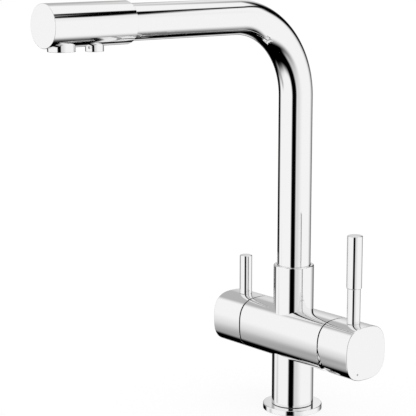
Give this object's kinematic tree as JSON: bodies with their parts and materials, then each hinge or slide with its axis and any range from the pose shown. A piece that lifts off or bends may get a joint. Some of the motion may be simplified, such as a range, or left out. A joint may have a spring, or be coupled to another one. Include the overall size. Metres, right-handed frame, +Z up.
{
  "type": "three way filtered water tap",
  "caption": "Deck-mounted kitchen mixer tap with a barrel body, a tilting and turning mixer lever, a quarter-turn filtered water lever and a swivel spout with two separate outlets.",
  "frame": {"origin": "centre of the base flange's underside, on the worktop and on the column's axis", "axes": "+Z up along the column, -Y along the spout at rest, +X along the barrel towards the mixer knob"},
  "size_m": [0.1638, 0.271, 0.3499],
  "materials": {
    "polished_chrome": "chrome plated brass, mirror polish",
    "brass": "turned, unplated",
    "stainless_steel": "bright",
    "ceramic": "lapped alumina",
    "black_rubber": "matte",
    "white_plastic": "moulded, satin",
    "dark_plastic": "moulded, matte"
  },
  "bodies": {
    "tap_body": {"base_flange": "polished_chrome", "base_gasket": "black_rubber", "column_ring": "dark_plastic", "base_column": "polished_chrome", "stud_boss": "brass", "inlet_block": "brass", "valve_body": "polished_chrome", "spout_collar": "polished_chrome", "collar_bush": "white_plastic", "spout_slide_washer": "white_plastic", "spout_retaining_screw": "stainless_steel", "filter_tube_seal": "black_rubber", "cartridge_base": "white_plastic", "cartridge_port_seals": "black_rubber", "mixer_fixed_disc": "ceramic", "cartridge_housing": "white_plastic", "cartridge_nut": "brass", "dome_cover": "polished_chrome", "filter_headwork": "brass", "filter_seat_seal": "black_rubber", "filter_fixed_disc": "ceramic", "slip_ring": "dark_plastic"},
    "spout": {"spout_foot": "brass", "spout_o_rings": "black_rubber", "spout_tube": "polished_chrome", "filter_tube": "white_plastic", "spout_head": "polished_chrome", "head_manifold": "white_plastic", "aerator_ring": "polished_chrome", "aerator_insert": "white_plastic", "aerator_seal": "black_rubber", "filter_nozzle": "polished_chrome", "filter_nozzle_insert": "white_plastic", "filter_nozzle_seal": "black_rubber"},
    "mixer_turret": {"mixer_turret": "white_plastic", "turret_o_ring": "black_rubber", "turret_pin": "stainless_steel"},
    "disc_carrier": {"disc_carrier": "white_plastic", "mixer_moving_disc": "ceramic"},
    "mixer_lever": {"mixer_stem": "brass", "mixer_knob": "polished_chrome", "knob_mark": "dark_plastic", "mixer_knob_screw": "stainless_steel", "mixer_lever_rod": "polished_chrome", "lever_grip": "polished_chrome"},
    "filter_lever": {"filter_moving_disc": "ceramic", "filter_spindle": "brass", "spindle_o_ring": "black_rubber", "spindle_clip": "stainless_steel", "filter_knob": "polished_chrome", "filter_knob_screw": "stainless_steel", "filter_lever": "polished_chrome"}
  },
  "joints": [
    {"name": "spout_swivel", "type": "hinge", "parent": "tap_body", "child": "spout", "pos_m": [0, 0, 0.1], "axis": [0, 0, 1], "continuous": true},
    {"name": "temperature_turn", "type": "hinge", "parent": "tap_body", "child": "mixer_turret", "pos_m": [0.047, 0, 0.0667], "axis": [1, 0, 0], "range_deg": [-45, 45]},
    {"name": "flow_tilt", "type": "hinge", "parent": "mixer_turret", "child": "mixer_lever", "pos_m": [0.047, 0, 0.0667], "axis": [0, 1, 0], "range_deg": [0, 18]},
    {"name": "disc_slide", "type": "slide", "parent": "mixer_turret", "child": "disc_carrier", "axis": [0, 0, 1], "range_m": [0, 0.0038]},
    {"name": "filter_turn", "type": "hinge", "parent": "tap_body", "child": "filter_lever", "pos_m": [-0.0608, 0, 0.0667], "axis": [1, 0, 0], "range_deg": [0, 90]}
  ],
  "couplings": [
    {"joint": "disc_slide", "follows": "flow_tilt", "m_per_rad": 0.012}
  ]
}
